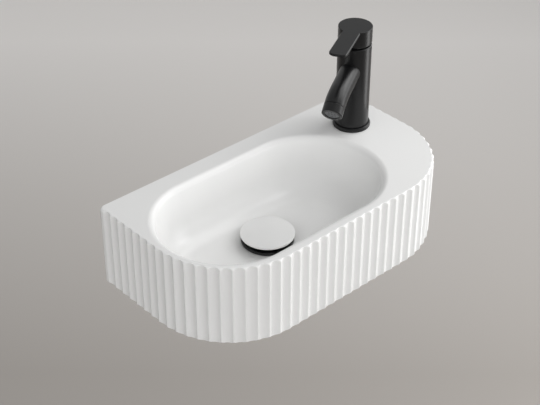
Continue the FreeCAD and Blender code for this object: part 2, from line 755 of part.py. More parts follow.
def tap_body():
    """Body and spout in one casting, bored for the cartridge, the waterways and the aerator."""
    top_edge = TAP_TOP_CHAMFER
    body = turned([
        (0, SPIGOT_FOOT), (SPIGOT_R, SPIGOT_FOOT), (SPIGOT_R, BASE_SEAT), (TAP_R, BASE_SEAT),
        (TAP_R, TAP_TOP - top_edge), (TAP_R - top_edge, TAP_TOP), (0, TAP_TOP)])
    body = body.fuse(spout_tube(SPOUT_R, SPOUT_R)).removeSplitter()
    end, heading = spout_point(BEND_LENGTH)
    body = body.cut(spout_tube(SPOUT_BORE_R, SPOUT_BORE_START))
    mouth_start = end - heading * (AERATOR_SPIGOT + AERATOR_SEAL_T)
    mouth_depth = AERATOR_SPIGOT + AERATOR_SEAL_T + 1
    body = body.cut(Part.makeCylinder(AERATOR_SPIGOT_R + THREAD_GAP, mouth_depth, mouth_start, heading))
    body = body.cut(rod(CARTRIDGE_R + RUNNING_GAP, CARTRIDGE_SEAT, TAP_TOP + 1))
    body = body.cut(rod(NUT_R + THREAD_GAP, NUT_SHOULDER, TAP_TOP + 1))
    for side in (-1, 1):
        v = side * INLET_SPACING / 2
        body = body.cut(rod(INLET_R, SPIGOT_FOOT - 1, SPIGOT_FOOT + INLET_DEPTH, INLET_U, v))
        body = body.cut(rod(INLET_DUCT_R, SPIGOT_FOOT + INLET_DEPTH - 1, CARTRIDGE_SEAT + 1, INLET_U, v))
    body = body.cut(rod(OUTLET_DUCT_R, SPOUT_ROOT_Z - SPOUT_BORE_R, CARTRIDGE_SEAT + 1, OUTLET_U, 0))
    stud_top = SPIGOT_FOOT + STUD_IN_BODY + LOOSE_GAP
    body = body.cut(rod(STUD_R + THREAD_GAP, SPIGOT_FOOT - 1, stud_top, STUD_U, 0))
    return at_tap(body)


def along_spout(piece, length):
    """Lays a piece that was built along +Z on the spout's end, its z = 0 at length past the run."""
    point, heading = spout_point(length)
    piece.rotate(Vector(0, 0, 0), Vector(0, 1, 0), math.degrees(math.atan2(heading.x, heading.z)))
    piece.translate(point)
    return at_tap(piece)


INSERT_TOP = AERATOR_LENGTH - AERATOR_LIP - INSERT_LENGTH


def aerator_housing():
    """Threaded end ring of the spout. Its lip holds the insert."""
    edge = AERATOR_EDGE
    lip_r = AERATOR_BORE_R - AERATOR_LIP
    end = AERATOR_LENGTH
    return along_spout(turned([
        (AERATOR_BORE_R, -AERATOR_SPIGOT), (AERATOR_SPIGOT_R, -AERATOR_SPIGOT), (AERATOR_SPIGOT_R, 0),
        (SPOUT_R - edge, 0), (SPOUT_R, edge), (SPOUT_R, end - edge), (SPOUT_R - edge, end), (lip_r, end),
        (lip_r, end - AERATOR_LIP), (AERATOR_BORE_R, end - AERATOR_LIP)]), BEND_LENGTH)


def aerator_insert():
    """Flow straightener: a disc with rings of holes."""
    high = AERATOR_LENGTH - AERATOR_LIP
    disc = rod(AERATOR_BORE_R - RUNNING_GAP, INSERT_TOP, high)
    holes = [rod(INSERT_HOLE_R, INSERT_TOP - 1, high + 1)]
    for k in range(1, INSERT_HOLE_RINGS):
        for n in range(6 * k):
            angle = math.radians(360 / (6 * k) * n)
            r = k * INSERT_HOLE_PITCH * 1.4
            across = r * math.cos(angle)
            along = r * math.sin(angle)
            holes.append(rod(INSERT_HOLE_R, INSERT_TOP - 1, high + 1, across, along))
    return along_spout(disc.cut(Part.makeCompound(holes)), BEND_LENGTH)


def aerator_seal():
    high = -AERATOR_SPIGOT - SEAT_GAP
    low = high - AERATOR_SEAL_T + 2 * SEAT_GAP
    return along_spout(ring(AERATOR_SPIGOT_R - RUNNING_GAP, AERATOR_SEAL_BORE_R, low, high), BEND_LENGTH)


# Cartridge levels from its seat upwards
BASE_TOP = CARTRIDGE_SEAT + CARTRIDGE_BASE_T
FIXED_TOP = BASE_TOP + FIXED_DISC_T
MOVING_LOW = FIXED_TOP + SEAT_GAP
MOVING_TOP = MOVING_LOW + MOVING_DISC_T
CARRIER_LOW = MOVING_TOP + LOOSE_GAP
CARTRIDGE_BORE_R = CARTRIDGE_R - CARTRIDGE_WALL


def ports(low, high):
    holes = [rod(PORT_R, low, high, OUTLET_U - 2.5, 0)]
    for side in (-1, 1):
        holes.append(rod(PORT_R, low, high, INLET_U - 2.5, side * (INLET_SPACING / 2 - 1)))
    return Part.makeCompound(holes)


def cartridge_seal():
    """Moulded rubber gasket under the cartridge, with one ring round each port."""
    blank = rod(CARTRIDGE_R - LOOSE_GAP, CARTRIDGE_SEAT, CARTRIDGE_SEAT + CARTRIDGE_SEAL_T)
    return at_tap(blank.cut(ports(CARTRIDGE_SEAT - 1, CARTRIDGE_SEAT + CARTRIDGE_SEAL_T + 1)))


def cartridge_base():
    blank = rod(CARTRIDGE_R, CARTRIDGE_SEAT + CARTRIDGE_SEAL_T, BASE_TOP)
    return at_tap(blank.cut(ports(CARTRIDGE_SEAT, BASE_TOP + 1)))


def fixed_disc():
    blank = rod(CARTRIDGE_BORE_R - LOOSE_GAP, BASE_TOP, FIXED_TOP)
    return at_tap(blank.cut(ports(BASE_TOP - 1, FIXED_TOP + 1)))


def moving_disc():
    """Upper ceramic disc: a mixing chamber below, a socket for the stem's foot above."""
    disc = rod(MOVING_DISC_R, MOVING_LOW, MOVING_TOP)
    disc = disc.cut(rod(MOVING_DISC_R * 0.6, MOVING_LOW - 1, MOVING_LOW + 1.2))
    socket = rod(STEM_FOOT_R + LOOSE_GAP * 2, MOVING_TOP - MOVING_DISC_RECESS, MOVING_TOP + 1)
    return at_tap(disc.cut(socket))


def cartridge_housing():
    """Cup that holds the discs and guides the carrier, stepped in at the clamping shoulder."""
    lip_r = CARRIER_NECK_R + RUNNING_GAP
    lip_low = CARRIER_SHOULDER + RUNNING_GAP
    return at_tap(turned([
        (CARTRIDGE_BORE_R, BASE_TOP), (CARTRIDGE_R, BASE_TOP), (CARTRIDGE_R, NUT_SHOULDER),
        (CARTRIDGE_R - CARTRIDGE_WALL / 2, NUT_SHOULDER), (CARTRIDGE_R - CARTRIDGE_WALL / 2, CARTRIDGE_TOP),
        (lip_r, CARTRIDGE_TOP), (lip_r, lip_low), (CARTRIDGE_BORE_R, lip_low)]))


def cartridge_carrier():
    """Turns in the housing with the handle, and carries the stem on its pin."""
    body = turned([
        (0, CARRIER_LOW), (CARTRIDGE_BORE_R - RUNNING_GAP, CARRIER_LOW),
        (CARTRIDGE_BORE_R - RUNNING_GAP, CARRIER_SHOULDER), (CARRIER_NECK_R, CARRIER_SHOULDER),
        (CARRIER_NECK_R, CARRIER_TOP), (0, CARRIER_TOP)])
    half_w = STEM_WIDTH / 2 + LOOSE_GAP
    lean = math.tan(math.radians(LIFT_ANGLE))
    back = STEM_WIDTH / 2 + lean * (CARRIER_TOP - PIVOT_Z) + LOOSE_GAP * 2
    ahead = STEM_WIDTH / 2 + lean * (PIVOT_Z - CARRIER_LOW) + LOOSE_GAP * 2
    slot_h = CARRIER_TOP - CARRIER_LOW + 2
    body = body.cut(Part.makeBox(back + ahead, 2 * half_w, slot_h, Vector(-back, -half_w, CARRIER_LOW - 1)))
    pin_hole = Part.makeCylinder(
        PIN_R + RUNNING_GAP, 2 * PIN_HALF + 6, Vector(0, -PIN_HALF - 3, PIVOT_Z), Vector(0, 1, 0))
    return at_tap(body.cut(pin_hole))


def stem_pin():
    return at_tap(Part.makeCylinder(PIN_R, 2 * PIN_HALF, Vector(0, -PIN_HALF, PIVOT_Z), Vector(0, 1, 0)))


def cartridge_stem():
    """Square lever of the cartridge: its foot drives the moving disc, its head carries the handle."""
    half = STEM_WIDTH / 2
    foot_z = MOVING_TOP - MOVING_DISC_RECESS + LOOSE_GAP * 2
    shank_low = CARRIER_LOW + LOOSE_GAP * 4
    stem = Part.makeBox(STEM_WIDTH, STEM_WIDTH, STEM_TOP - shank_low, Vector(-half, -half, shank_low))
    stem = stem.common(rod(half * 1.25, shank_low, STEM_TOP))
    stem = stem.fuse(rod(STEM_FOOT_R, foot_z, shank_low + 1)).removeSplitter()
    pin_hole = Part.makeCylinder(
        PIN_R + RUNNING_GAP, STEM_WIDTH + 2, Vector(0, -half - 1, PIVOT_Z), Vector(0, 1, 0))
    return at_tap(stem.cut(pin_hole))


def cartridge_nut():
    """Ring nut that clamps the cartridge, with key slots in its top."""
    bore = CARTRIDGE_R - CARTRIDGE_WALL / 2 + LOOSE_GAP
    nut = ring(NUT_R, bore, NUT_SHOULDER + SEAT_GAP, TAP_TOP - SEAT_GAP)
    for k in range(NUT_SLOTS // 2):
        slot = Part.makeBox(
            2 * NUT_R + 2, NUT_SLOT_W, NUT_SLOT_H + 1,
            Vector(-NUT_R - 1, -NUT_SLOT_W / 2, TAP_TOP - SEAT_GAP - NUT_SLOT_H))
        slot.rotate(Vector(0, 0, 0), Z_UP, 180 / (NUT_SLOTS // 2) * k)
        nut = nut.cut(slot)
    return at_tap(nut)


def cartridge_cover():
    """Low trim cone over the nut, seen in the gap behind the handle."""
    bore = CARTRIDGE_R - CARTRIDGE_WALL / 2 + LOOSE_GAP
    return at_tap(turned([
        (bore, TAP_TOP), (COVER_R, TAP_TOP), (COVER_R, TAP_TOP + 0.6), (COVER_TOP_R, TAP_TOP + COVER_T),
        (bore, TAP_TOP + COVER_T)]))


HANDLE_FOOT = TAP_TOP + HANDLE_GAP


def handle_blade():
    """Flat lever with a rounded end, level with the top of the handle."""
    half = BLADE_WIDTH / 2
    corner = BLADE_CORNER_R
    k = corner * (1 - math.sqrt(0.5))
    low = HANDLE_TOP - BLADE_T
    end = BLADE_REACH
    edges = [
        Part.makeLine(Vector(0, -half, low), Vector(end - corner, -half, low)),
        Part.Arc(Vector(end - corner, -half, low), Vector(end - k, -half + k, low),
                 Vector(end, -half + corner, low)).toShape(),
        Part.makeLine(Vector(end, -half + corner, low), Vector(end, half - corner, low)),
        Part.Arc(Vector(end, half - corner, low), Vector(end - k, half - k, low),
                 Vector(end - corner, half, low)).toShape(),
        Part.makeLine(Vector(end - corner, half, low), Vector(0, half, low)),
        Part.makeLine(Vector(0, half, low), Vector(0, -half, low))]
    blade = Part.Face(Part.Wire(edges)).extrude(Vector(0, 0, BLADE_T))
    rim = []
    for edge in blade.Edges:
        box = edge.BoundBox
        level = box.ZMax - box.ZMin < 1e-6 and box.XMax > 1e-6
        if level:
            rim.append(edge)
    return blade.makeChamfer(BLADE_EDGE, rim)


def handle():
    """Hollow collar and lever in one casting, cut away behind so that it can tip back."""
    inner_r = TAP_R - HANDLE_WALL
    plate_low = HANDLE_TOP - HANDLE_PLATE
    edge = HANDLE_EDGE_R
    slope = math.sqrt(0.5)
    shell = turned([
        (0, HANDLE_TOP), (TAP_R - edge, HANDLE_TOP),
        ((TAP_R - edge + edge * slope, HANDLE_TOP - edge + edge * slope), (TAP_R, HANDLE_TOP - edge)),
        (TAP_R, HANDLE_FOOT + HANDLE_FOOT_RISE), (TAP_R - HANDLE_FOOT_CHAMFER, HANDLE_FOOT),
        (inner_r, HANDLE_FOOT), (inner_r, plate_low), (BOSS_R, plate_low), (BOSS_R, BOSS_FOOT),
        (0, BOSS_FOOT)])
    shape = shell.fuse(handle_blade()).removeSplitter()
    wedge = Part.makeBox(4 * TAP_R, 4 * TAP_R, 2 * TAP_R, Vector(-4 * TAP_R, -2 * TAP_R, -2 * TAP_R))
    wedge.rotate(Vector(0, 0, 0), Vector(0, 1, 0), LIFT_ANGLE + RELIEF_EXTRA)
    wedge.translate(Vector(RELIEF_START_U, 0, HANDLE_FOOT))
    shape = shape.cut(wedge)
    half = STEM_WIDTH / 2 + THREAD_GAP
    deep = STEM_TOP + SEAT_GAP - BOSS_FOOT + 1
    socket = Part.makeBox(2 * half, 2 * half, deep, Vector(-half, -half, BOSS_FOOT - 1))
    socket = socket.common(rod(STEM_WIDTH / 2 * 1.25 + THREAD_GAP, BOSS_FOOT - 1, STEM_TOP + SEAT_GAP))
    shape = shape.cut(socket)
    screw_hole = Part.makeCylinder(GRUB_R + THREAD_GAP, TAP_R + 1, Vector(0, 0, GRUB_Z), Vector(-1, 0, 0))
    return at_tap(shape.cut(screw_hole))


def handle_grub_screw():
    start = -(STEM_WIDTH / 2 + SEAT_GAP)
    return at_tap(Part.makeCylinder(GRUB_R, GRUB_LENGTH, Vector(start, 0, GRUB_Z), Vector(-1, 0, 0)))


RUBBER_LOW = -DECK_WALL - RUBBER_HORSESHOE_T
STEEL_LOW = RUBBER_LOW - STEEL_HORSESHOE_T
STUD_NUT_LOW = STEEL_LOW - STUD_NUT_H


def horseshoe(low, high):
    """Washer open on one side for the supply hoses, with a hole for the stud."""
    washer = rod(HORSESHOE_R, low, high)
    start_u = STUD_U + STUD_R + HORSESHOE_BACK
    slot = Part.makeBox(
        2 * HORSESHOE_R, HORSESHOE_SLOT, high - low + 2, Vector(start_u, -HORSESHOE_SLOT / 2, low - 1))
    washer = washer.cut(slot)
    return washer.cut(rod(STUD_R + LOOSE_GAP, low - 1, high + 1, STUD_U, 0))


def tap_rubber_horseshoe():
    return at_tap(horseshoe(RUBBER_LOW, -DECK_WALL))


def tap_steel_horseshoe():
    return at_tap(horseshoe(STEEL_LOW, RUBBER_LOW))


def tap_fixing_stud():
    return at_tap(rod(STUD_R, STUD_NUT_LOW - STUD_BELOW_NUT, SPIGOT_FOOT + STUD_IN_BODY, STUD_U, 0))


def tap_fixing_nut():
    nut = hex_nut(STUD_NUT_FLATS, STUD_R + THREAD_GAP, STUD_NUT_LOW, STEEL_LOW)
    nut.translate(Vector(STUD_U, 0, 0))
    return at_tap(nut)


PIECES = [
    basin,
    wall_bolts, wall_bolt_bushes, wall_bolt_washers, wall_bolt_nuts,
    waste_body, waste_flange_seal, waste_under_seal, waste_slip_washer, waste_backnut,
    plug_cap, plug_carrier, plug_seal, plug_stem, click_housing, plug_spring,
    tap_base_gasket, tap_base_ring, tap_body, aerator_housing, aerator_insert, aerator_seal,
    cartridge_seal, cartridge_base, fixed_disc, moving_disc, cartridge_housing, cartridge_carrier, stem_pin,
    cartridge_stem, cartridge_nut, cartridge_cover, handle, handle_grub_screw,
    tap_rubber_horseshoe, tap_steel_horseshoe, tap_fixing_stud, tap_fixing_nut,
]

os.makedirs("parts", exist_ok=True)
for piece in PIECES:
    shape = piece()
    name = piece.__name__
    print("%-22s solids %d valid %s volume %.1f" % (name, len(shape.Solids), shape.isValid(), shape.Volume))
    shape.exportStep(os.path.join("parts", name + ".step"))
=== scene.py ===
import bpy
import math
from mathutils import Matrix, Vector


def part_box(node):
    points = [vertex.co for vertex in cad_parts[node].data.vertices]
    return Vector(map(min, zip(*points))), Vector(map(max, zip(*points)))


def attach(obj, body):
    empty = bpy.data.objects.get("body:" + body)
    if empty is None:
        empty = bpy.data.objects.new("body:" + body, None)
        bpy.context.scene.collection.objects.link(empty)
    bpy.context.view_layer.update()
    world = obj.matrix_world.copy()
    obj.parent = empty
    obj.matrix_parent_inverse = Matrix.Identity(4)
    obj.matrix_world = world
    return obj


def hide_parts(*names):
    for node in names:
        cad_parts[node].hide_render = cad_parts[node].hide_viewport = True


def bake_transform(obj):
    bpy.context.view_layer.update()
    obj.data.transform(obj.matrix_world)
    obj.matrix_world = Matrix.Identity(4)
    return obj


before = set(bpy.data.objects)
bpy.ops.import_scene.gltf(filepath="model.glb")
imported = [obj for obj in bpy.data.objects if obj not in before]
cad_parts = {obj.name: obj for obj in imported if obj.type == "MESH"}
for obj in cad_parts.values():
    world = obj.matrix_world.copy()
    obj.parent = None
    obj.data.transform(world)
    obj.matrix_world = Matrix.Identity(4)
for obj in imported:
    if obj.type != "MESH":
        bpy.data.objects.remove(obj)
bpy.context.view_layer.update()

# Basin: one piece of vitreous china, slip cast in a mould that leaves the flutes in its skirt.
# It is open below, and the bowl hangs inside the skirt from a flat deck.
MM = 0.001
BASIN_LOW, BASIN_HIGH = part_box("basin")
HALF = (BASIN_HIGH.x - BASIN_LOW.x) / 2
BASIN_DEPTH = BASIN_HIGH.y - BASIN_LOW.y
RIM = BASIN_HIGH.z
FOOT = BASIN_LOW.z
CORNER_R = 108 * MM
BACK_CORNER_R = 5 * MM
RIM_EDGE_R = 3.4 * MM
FOOT_EDGE_R = 4 * MM
ARRIS = 0.8 * MM
FLUTES = 52
FLUTE_MARGIN = 8.2 * MM
FLUTE_R = 7.8 * MM
RIDGE_R = 1.2 * MM
STEPS_PER_FLUTE = 20
MARGIN_STEPS = 13
BACK_STEPS = 60
FOOT_ROWS = 11
PLAIN_ROWS = 4
RIM_ROWS = 18
ROLL_ROWS = 10
SWEEP_ROWS = 18
UNDER_ROWS = 10
DECK_EASE = 0.4 * MM
ROLL_EASE = 0.6 * MM
DRAIN_EDGE = 2 * MM
DRAIN_EDGE_DROP = 1 * MM
UNDER_EASE = 4 * MM
UNDER_FILLET = 3 * MM
INNER_FOOT_EDGE = 2 * MM
OVERSHOOT = 5 * MM
HOLE_FACETS = 64
HALVINGS = 40
WELD_GAP = 0.02 * MM
RIGHT_ANGLE = math.radians(90)
SKIRT_WALL = 11 * MM
BACK_WALL = 12 * MM
DECK_WALL = 12 * MM
BOWL_X = -36 * MM
BOWL_Y = -113 * MM
BOWL_REACH = 66 * MM
BOWL_R = 91 * MM
ROLL_R = 9 * MM
FLOOR_R = 37.7 * MM
FLOOR_Z = RIM - 69 * MM
FLOOR_WALL = 10 * MM
LEAN = math.radians(12)
DRAIN = Vector((-35 * MM, -106 * MM, FLOOR_Z))
WASTE_HOLE_R = 23 * MM
TAP_AXIS = Vector((147 * MM, -61.3 * MM, RIM))
TAP_HOLE_R = 17.5 * MM
WALL_HOLE_R = 6.06 * MM
WALL_HOLE_X = 100 * MM

SIDE = BASIN_DEPTH - CORNER_R
FRONT = 2 * HALF - 2 * CORNER_R
QUARTER = CORNER_R * math.pi / 2
SKIRT = 2 * SIDE + 2 * QUARTER + FRONT
PITCH = (SKIRT - 2 * FLUTE_MARGIN) / FLUTES
FLUTE_LEAN = math.asin(PITCH / 2 / (FLUTE_R + RIDGE_R))
FLUTE_DEPTH = (FLUTE_R + RIDGE_R) * (1 - math.cos(FLUTE_LEAN))
WALL_R = BOWL_R - ROLL_R * math.cos(LEAN)
WALL_Z = RIM - ROLL_R * (1 - math.sin(LEAN))
SWEEP_R = (WALL_R - (WALL_Z - FLOOR_Z) * math.tan(LEAN) - FLOOR_R) / (
    math.cos(LEAN) - (1 - math.sin(LEAN)) * math.tan(LEAN))


def on_skirt(s, depth):
    """Point s along the skirt from the back left corner, depth inside its ridges."""
    if s > SKIRT / 2 + FRONT / 2 + QUARTER:
        x, y = on_skirt(SKIRT - s, depth)
        return -x, y
    if s < BACK_CORNER_R:
        a = RIGHT_ANGLE * (1 - s / BACK_CORNER_R)
        across = BACK_CORNER_R * (1 - math.cos(a))
        return -HALF + depth + across, BACK_CORNER_R * (math.sin(a) - 1)
    if s <= SIDE:
        return -HALF + depth, -s
    s -= SIDE
    r = CORNER_R - depth
    if s <= QUARTER:
        a = s / CORNER_R
        return -HALF + CORNER_R - r * math.cos(a), -SIDE - r * math.sin(a)
    s -= QUARTER
    if s <= FRONT:
        return -HALF + CORNER_R + s, -BASIN_DEPTH + depth
    a = (s - FRONT) / CORNER_R
    return HALF - CORNER_R + r * math.sin(a), -SIDE - r * math.cos(a)


def flute_depth(s):
    """How far the skirt lies inside its ridges: hollow channels from the foot to the deck."""
    along = s - FLUTE_MARGIN
    if along < 0 or along > FLUTES * PITCH:
        return 0.0
    off = abs(along - PITCH * round(along / PITCH))
    if off < RIDGE_R * math.sin(FLUTE_LEAN):
        return RIDGE_R - math.sqrt(RIDGE_R ** 2 - off ** 2)
    return FLUTE_DEPTH - FLUTE_R + math.sqrt(FLUTE_R ** 2 - (PITCH / 2 - off) ** 2)


stations = [FLUTE_MARGIN * k / MARGIN_STEPS for k in range(MARGIN_STEPS)]
stations += [FLUTE_MARGIN + PITCH * k / STEPS_PER_FLUTE for k in range(FLUTES * STEPS_PER_FLUTE)]
stations += [SKIRT - FLUTE_MARGIN * (MARGIN_STEPS - k) / MARGIN_STEPS for k in range(MARGIN_STEPS + 1)]
BACK_HALF = HALF - BACK_CORNER_R - FOOT_EDGE_R
back = [BACK_HALF - 2 * BACK_HALF * k / BACK_STEPS for k in range(1, BACK_STEPS)]


def skirt_ring(inset, z):
    """Skirt outline at z: the rounded edge or the flute, whichever lies deeper, with a soft arris."""
    ring = []
    soft = min(ARRIS, inset)
    for s in stations:
        depth = flute_depth(s)
        overlap = max(0.0, soft - abs(depth - inset))
        round_off = overlap ** 2 / (4 * soft) if soft > 0 else 0.0
        ring.append((*on_skirt(s, max(depth, inset) + round_off), z))
    return ring + [(x, 0.0, z) for x in back]


rays = []
for x, y, z in [(*on_skirt(s, 0.0), RIM) for s in stations] + [(x, 0.0, RIM) for x in back]:
    rays.append(Vector((x - BOWL_X, y - BOWL_Y)).normalized())


def to_oval(ray, r):
    """Distance along a ray from the bowl's middle to an oval with round ends of radius r."""
    if abs(ray.y) > 1e-9 and abs(ray.x) * r / abs(ray.y) <= BOWL_REACH:
        return r / abs(ray.y)
    toward = abs(ray.x) * BOWL_REACH
    return toward + math.sqrt(toward ** 2 - BOWL_REACH ** 2 + r ** 2)


def in_hollow(x, y):
    h = HALF - SKIRT_WALL
    r = CORNER_R - SKIRT_WALL
    if abs(x) > h or y > -BACK_WALL or y < -BASIN_DEPTH + SKIRT_WALL:
        return False
    across = abs(x) - (h - r)
    down = -SIDE - y
    return across < 0 or down < 0 or math.hypot(across, down) <= r


def to_hollow(ray):
    """Distance along a ray from the bowl's middle to the inner face of the skirt."""
    near, far = 0.0, 2 * HALF
    for _ in range(HALVINGS):
        middle = (near + far) / 2
        if in_hollow(BOWL_X + ray.x * middle, BOWL_Y + ray.y * middle):
            near = middle
        else:
            far = middle
    return near


hollow_reach = [to_hollow(ray) for ray in rays]


def bowl_ring(r, z):
    return [(BOWL_X + ray.x * to_oval(ray, r), BOWL_Y + ray.y * to_oval(ray, r), z) for ray in rays]


def under_ring(r, z, slack=0.0):
    reach = [min(to_oval(ray, r), wall - slack) for ray, wall in zip(rays, hollow_reach)]
    return [(BOWL_X + ray.x * t, BOWL_Y + ray.y * t, z) for ray, t in zip(rays, reach)]


def hollow_ring(inset, z):
    reach = [t + inset for t in hollow_reach]
    return [(BOWL_X + ray.x * t, BOWL_Y + ray.y * t, z) for ray, t in zip(rays, reach)]


def drain_ring(r, z):
    return [(DRAIN.x + ray.x * r, DRAIN.y + ray.y * r, z) for ray in rays]


rings = []
for k in range(FOOT_ROWS + 1):
    a = RIGHT_ANGLE * k / FOOT_ROWS
    rings.append(skirt_ring(FOOT_EDGE_R * (1 - math.sin(a)), FOOT + FOOT_EDGE_R * (1 - math.cos(a))))
plain_low = FOOT + FOOT_EDGE_R
plain_high = RIM - RIM_EDGE_R
for k in range(1, PLAIN_ROWS):
    rings.append(skirt_ring(0.0, plain_low + (plain_high - plain_low) * k / PLAIN_ROWS))
for k in range(RIM_ROWS + 1):
    a = RIGHT_ANGLE * k / RIM_ROWS
    rings.append(skirt_ring(RIM_EDGE_R * (1 - math.cos(a)), plain_high + RIM_EDGE_R * math.sin(a)))
rings.append(skirt_ring(RIM_EDGE_R + DECK_EASE, RIM))
rings.append(bowl_ring(BOWL_R + ROLL_EASE, RIM))
for k in range(ROLL_ROWS + 1):
    a = RIGHT_ANGLE + (LEAN - RIGHT_ANGLE) * k / ROLL_ROWS
    rings.append(bowl_ring(BOWL_R - ROLL_R * math.cos(a), RIM - ROLL_R * (1 - math.sin(a))))
for k in range(SWEEP_ROWS + 1):
    a = LEAN + (RIGHT_ANGLE - LEAN) * k / SWEEP_ROWS
    rings.append(bowl_ring(FLOOR_R + SWEEP_R * math.cos(a), FLOOR_Z + SWEEP_R * (1 - math.sin(a))))
rings.append(drain_ring(WASTE_HOLE_R + DRAIN_EDGE, FLOOR_Z))
rings.append(drain_ring(WASTE_HOLE_R, FLOOR_Z - DRAIN_EDGE_DROP))
rings.append(drain_ring(WASTE_HOLE_R, FLOOR_Z - FLOOR_WALL))
under_r = SWEEP_R + FLOOR_WALL
for k in range(UNDER_ROWS + 1):
    a = RIGHT_ANGLE + (LEAN - RIGHT_ANGLE) * k / UNDER_ROWS
    rings.append(under_ring(FLOOR_R + under_r * math.cos(a), FLOOR_Z + SWEEP_R - under_r * math.sin(a)))
top_z = RIM - DECK_WALL
top_r = FLOOR_R + under_r * math.cos(LEAN) + (top_z - FLOOR_Z - SWEEP_R) * math.tan(LEAN)
rings.append(under_ring(top_r, top_z - UNDER_EASE))
rings.append(under_ring(top_r + UNDER_FILLET, top_z, UNDER_FILLET))
rings.append(hollow_ring(-UNDER_FILLET, top_z))
rings.append(hollow_ring(0.0, top_z - UNDER_FILLET))
rings.append(hollow_ring(0.0, FOOT + INNER_FOOT_EDGE))
rings.append(hollow_ring(INNER_FOOT_EDGE, FOOT))


def select_none():
    bpy.ops.object.select_all(action="DESELECT")


def ring_mesh(name, loops):
    """A grid whose rows are bent into closed rings, joined end to end into one skin."""
    around = len(loops[0])
    closed = loops + [loops[0]]
    select_none()
    bpy.ops.mesh.primitive_grid_add(x_subdivisions=around, y_subdivisions=len(loops))
    piece = bpy.context.object
    piece.name = name
    piece.data.name = name
    assert len(piece.data.vertices) == (around + 1) * len(closed)
    for row, loop in enumerate(closed):
        for column in range(around + 1):
            piece.data.vertices[row * (around + 1) + column].co = loop[column % around]
    bpy.ops.object.mode_set(mode="EDIT")
    bpy.ops.mesh.select_all(action="SELECT")
    bpy.ops.mesh.remove_doubles(threshold=WELD_GAP)
    bpy.ops.mesh.normals_make_consistent(inside=False)
    bpy.ops.object.mode_set(mode="OBJECT")
    return piece


def cut_away(piece, tool):
    select_none()
    bpy.context.view_layer.objects.active = piece
    piece.select_set(True)
    cut = piece.modifiers.new("cut", "BOOLEAN")
    cut.operation = "DIFFERENCE"
    cut.solver = "EXACT"
    cut.object = tool
    bpy.ops.object.modifier_apply(modifier=cut.name)
    bpy.data.objects.remove(tool)


def drill(piece, radius, start, axis, length):
    """Cuts a round hole of a given length along an axis."""
    select_none()
    turn = Vector(axis).to_track_quat("Z", "Y").to_euler()
    centre = Vector(start) + Vector(axis).normalized() * length / 2
    bpy.ops.mesh.primitive_cylinder_add(
        vertices=HOLE_FACETS, radius=radius, depth=length, location=centre, rotation=turn)
    cut_away(piece, bpy.context.object)


def smooth(piece, degrees):
    select_none()
    bpy.context.view_layer.objects.active = piece
    piece.select_set(True)
    bpy.ops.object.shade_smooth_by_angle(angle=math.radians(degrees))


def colour(hex_code):
    """Linear colour of an sRGB hex value."""
    channels = [int(hex_code[k:k + 2], 16) / 255 for k in (1, 3, 5)]
    return [c / 12.92 if c <= 0.04045 else ((c + 0.055) / 1.055) ** 2.4 for c in channels] + [1.0]


def add(tree, kind, settings=None, links=None):
    """Adds a node, sets its properties or sockets, and links its sockets to other outputs."""
    made = tree.nodes.new(kind)
    for key, value in (settings or {}).items():
        if isinstance(key, str) and hasattr(made, key):
            setattr(made, key, value)
        else:
            made.inputs[key].default_value = value
    for key, source in (links or {}).items():
        tree.links.new(source, made.inputs[key])
    return made


def start_material(name):
    material = bpy.data.materials.new(name)
    material.use_nodes = True
    material.node_tree.nodes.clear()
    return material, material.node_tree


def finish_material(tree, shader):
    add(tree, "ShaderNodeOutputMaterial", links={"Surface": shader.outputs[0]})


def wear_finish(piece, material):
    piece.data.materials.clear()
    piece.data.materials.append(material)


def vitreous_glaze():
    """Fired white silk glaze on vitreous china: a soft gloss, an orange-peel wave and a trace of tone."""
    material, tree = start_material("vitreous_china_glaze")
    place = add(tree, "ShaderNodeTexCoord")
    spot = {"Vector": place.outputs["Object"]}
    tone = add(tree, "ShaderNodeTexNoise", {"Scale": 1 / (90 * MM), "Detail": 2.0}, spot)
    white = add(tree, "ShaderNodeValToRGB", links={"Fac": tone.outputs["Fac"]})
    white.color_ramp.elements[0].color = colour("#f1f1f0")
    white.color_ramp.elements[1].color = colour("#f6f6f5")
    wave = add(tree, "ShaderNodeTexNoise", {"Scale": 1 / (14 * MM), "Detail": 1.0}, spot)
    peel = add(
        tree, "ShaderNodeBump", {"Strength": 0.12, "Distance": 0.05 * MM}, {"Height": wave.outputs["Fac"]})
    gloss = add(tree, "ShaderNodeMapRange", {"To Min": 0.2, "To Max": 0.26}, {"Value": tone.outputs["Fac"]})
    shader = add(
        tree, "ShaderNodeBsdfPrincipled", {"IOR": 1.5},
        {"Base Color": white.outputs["Color"], "Roughness": gloss.outputs["Result"],
         "Normal": peel.outputs["Normal"]})
    finish_material(tree, shader)
    return material


china = vitreous_glaze()
basin = ring_mesh("basin_china", rings)
drill(basin, TAP_HOLE_R, TAP_AXIS + Vector((0, 0, OVERSHOOT)), (0, 0, -1), DECK_WALL + 2 * OVERSHOOT)
for side in (-1, 1):
    drill(basin, WALL_HOLE_R, (side * WALL_HOLE_X, OVERSHOOT, 0), (0, -1, 0), BACK_WALL + 2 * OVERSHOOT)
smooth(basin, degrees=40)
wear_finish(basin, china)
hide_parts("basin")
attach(basin, "fixed")


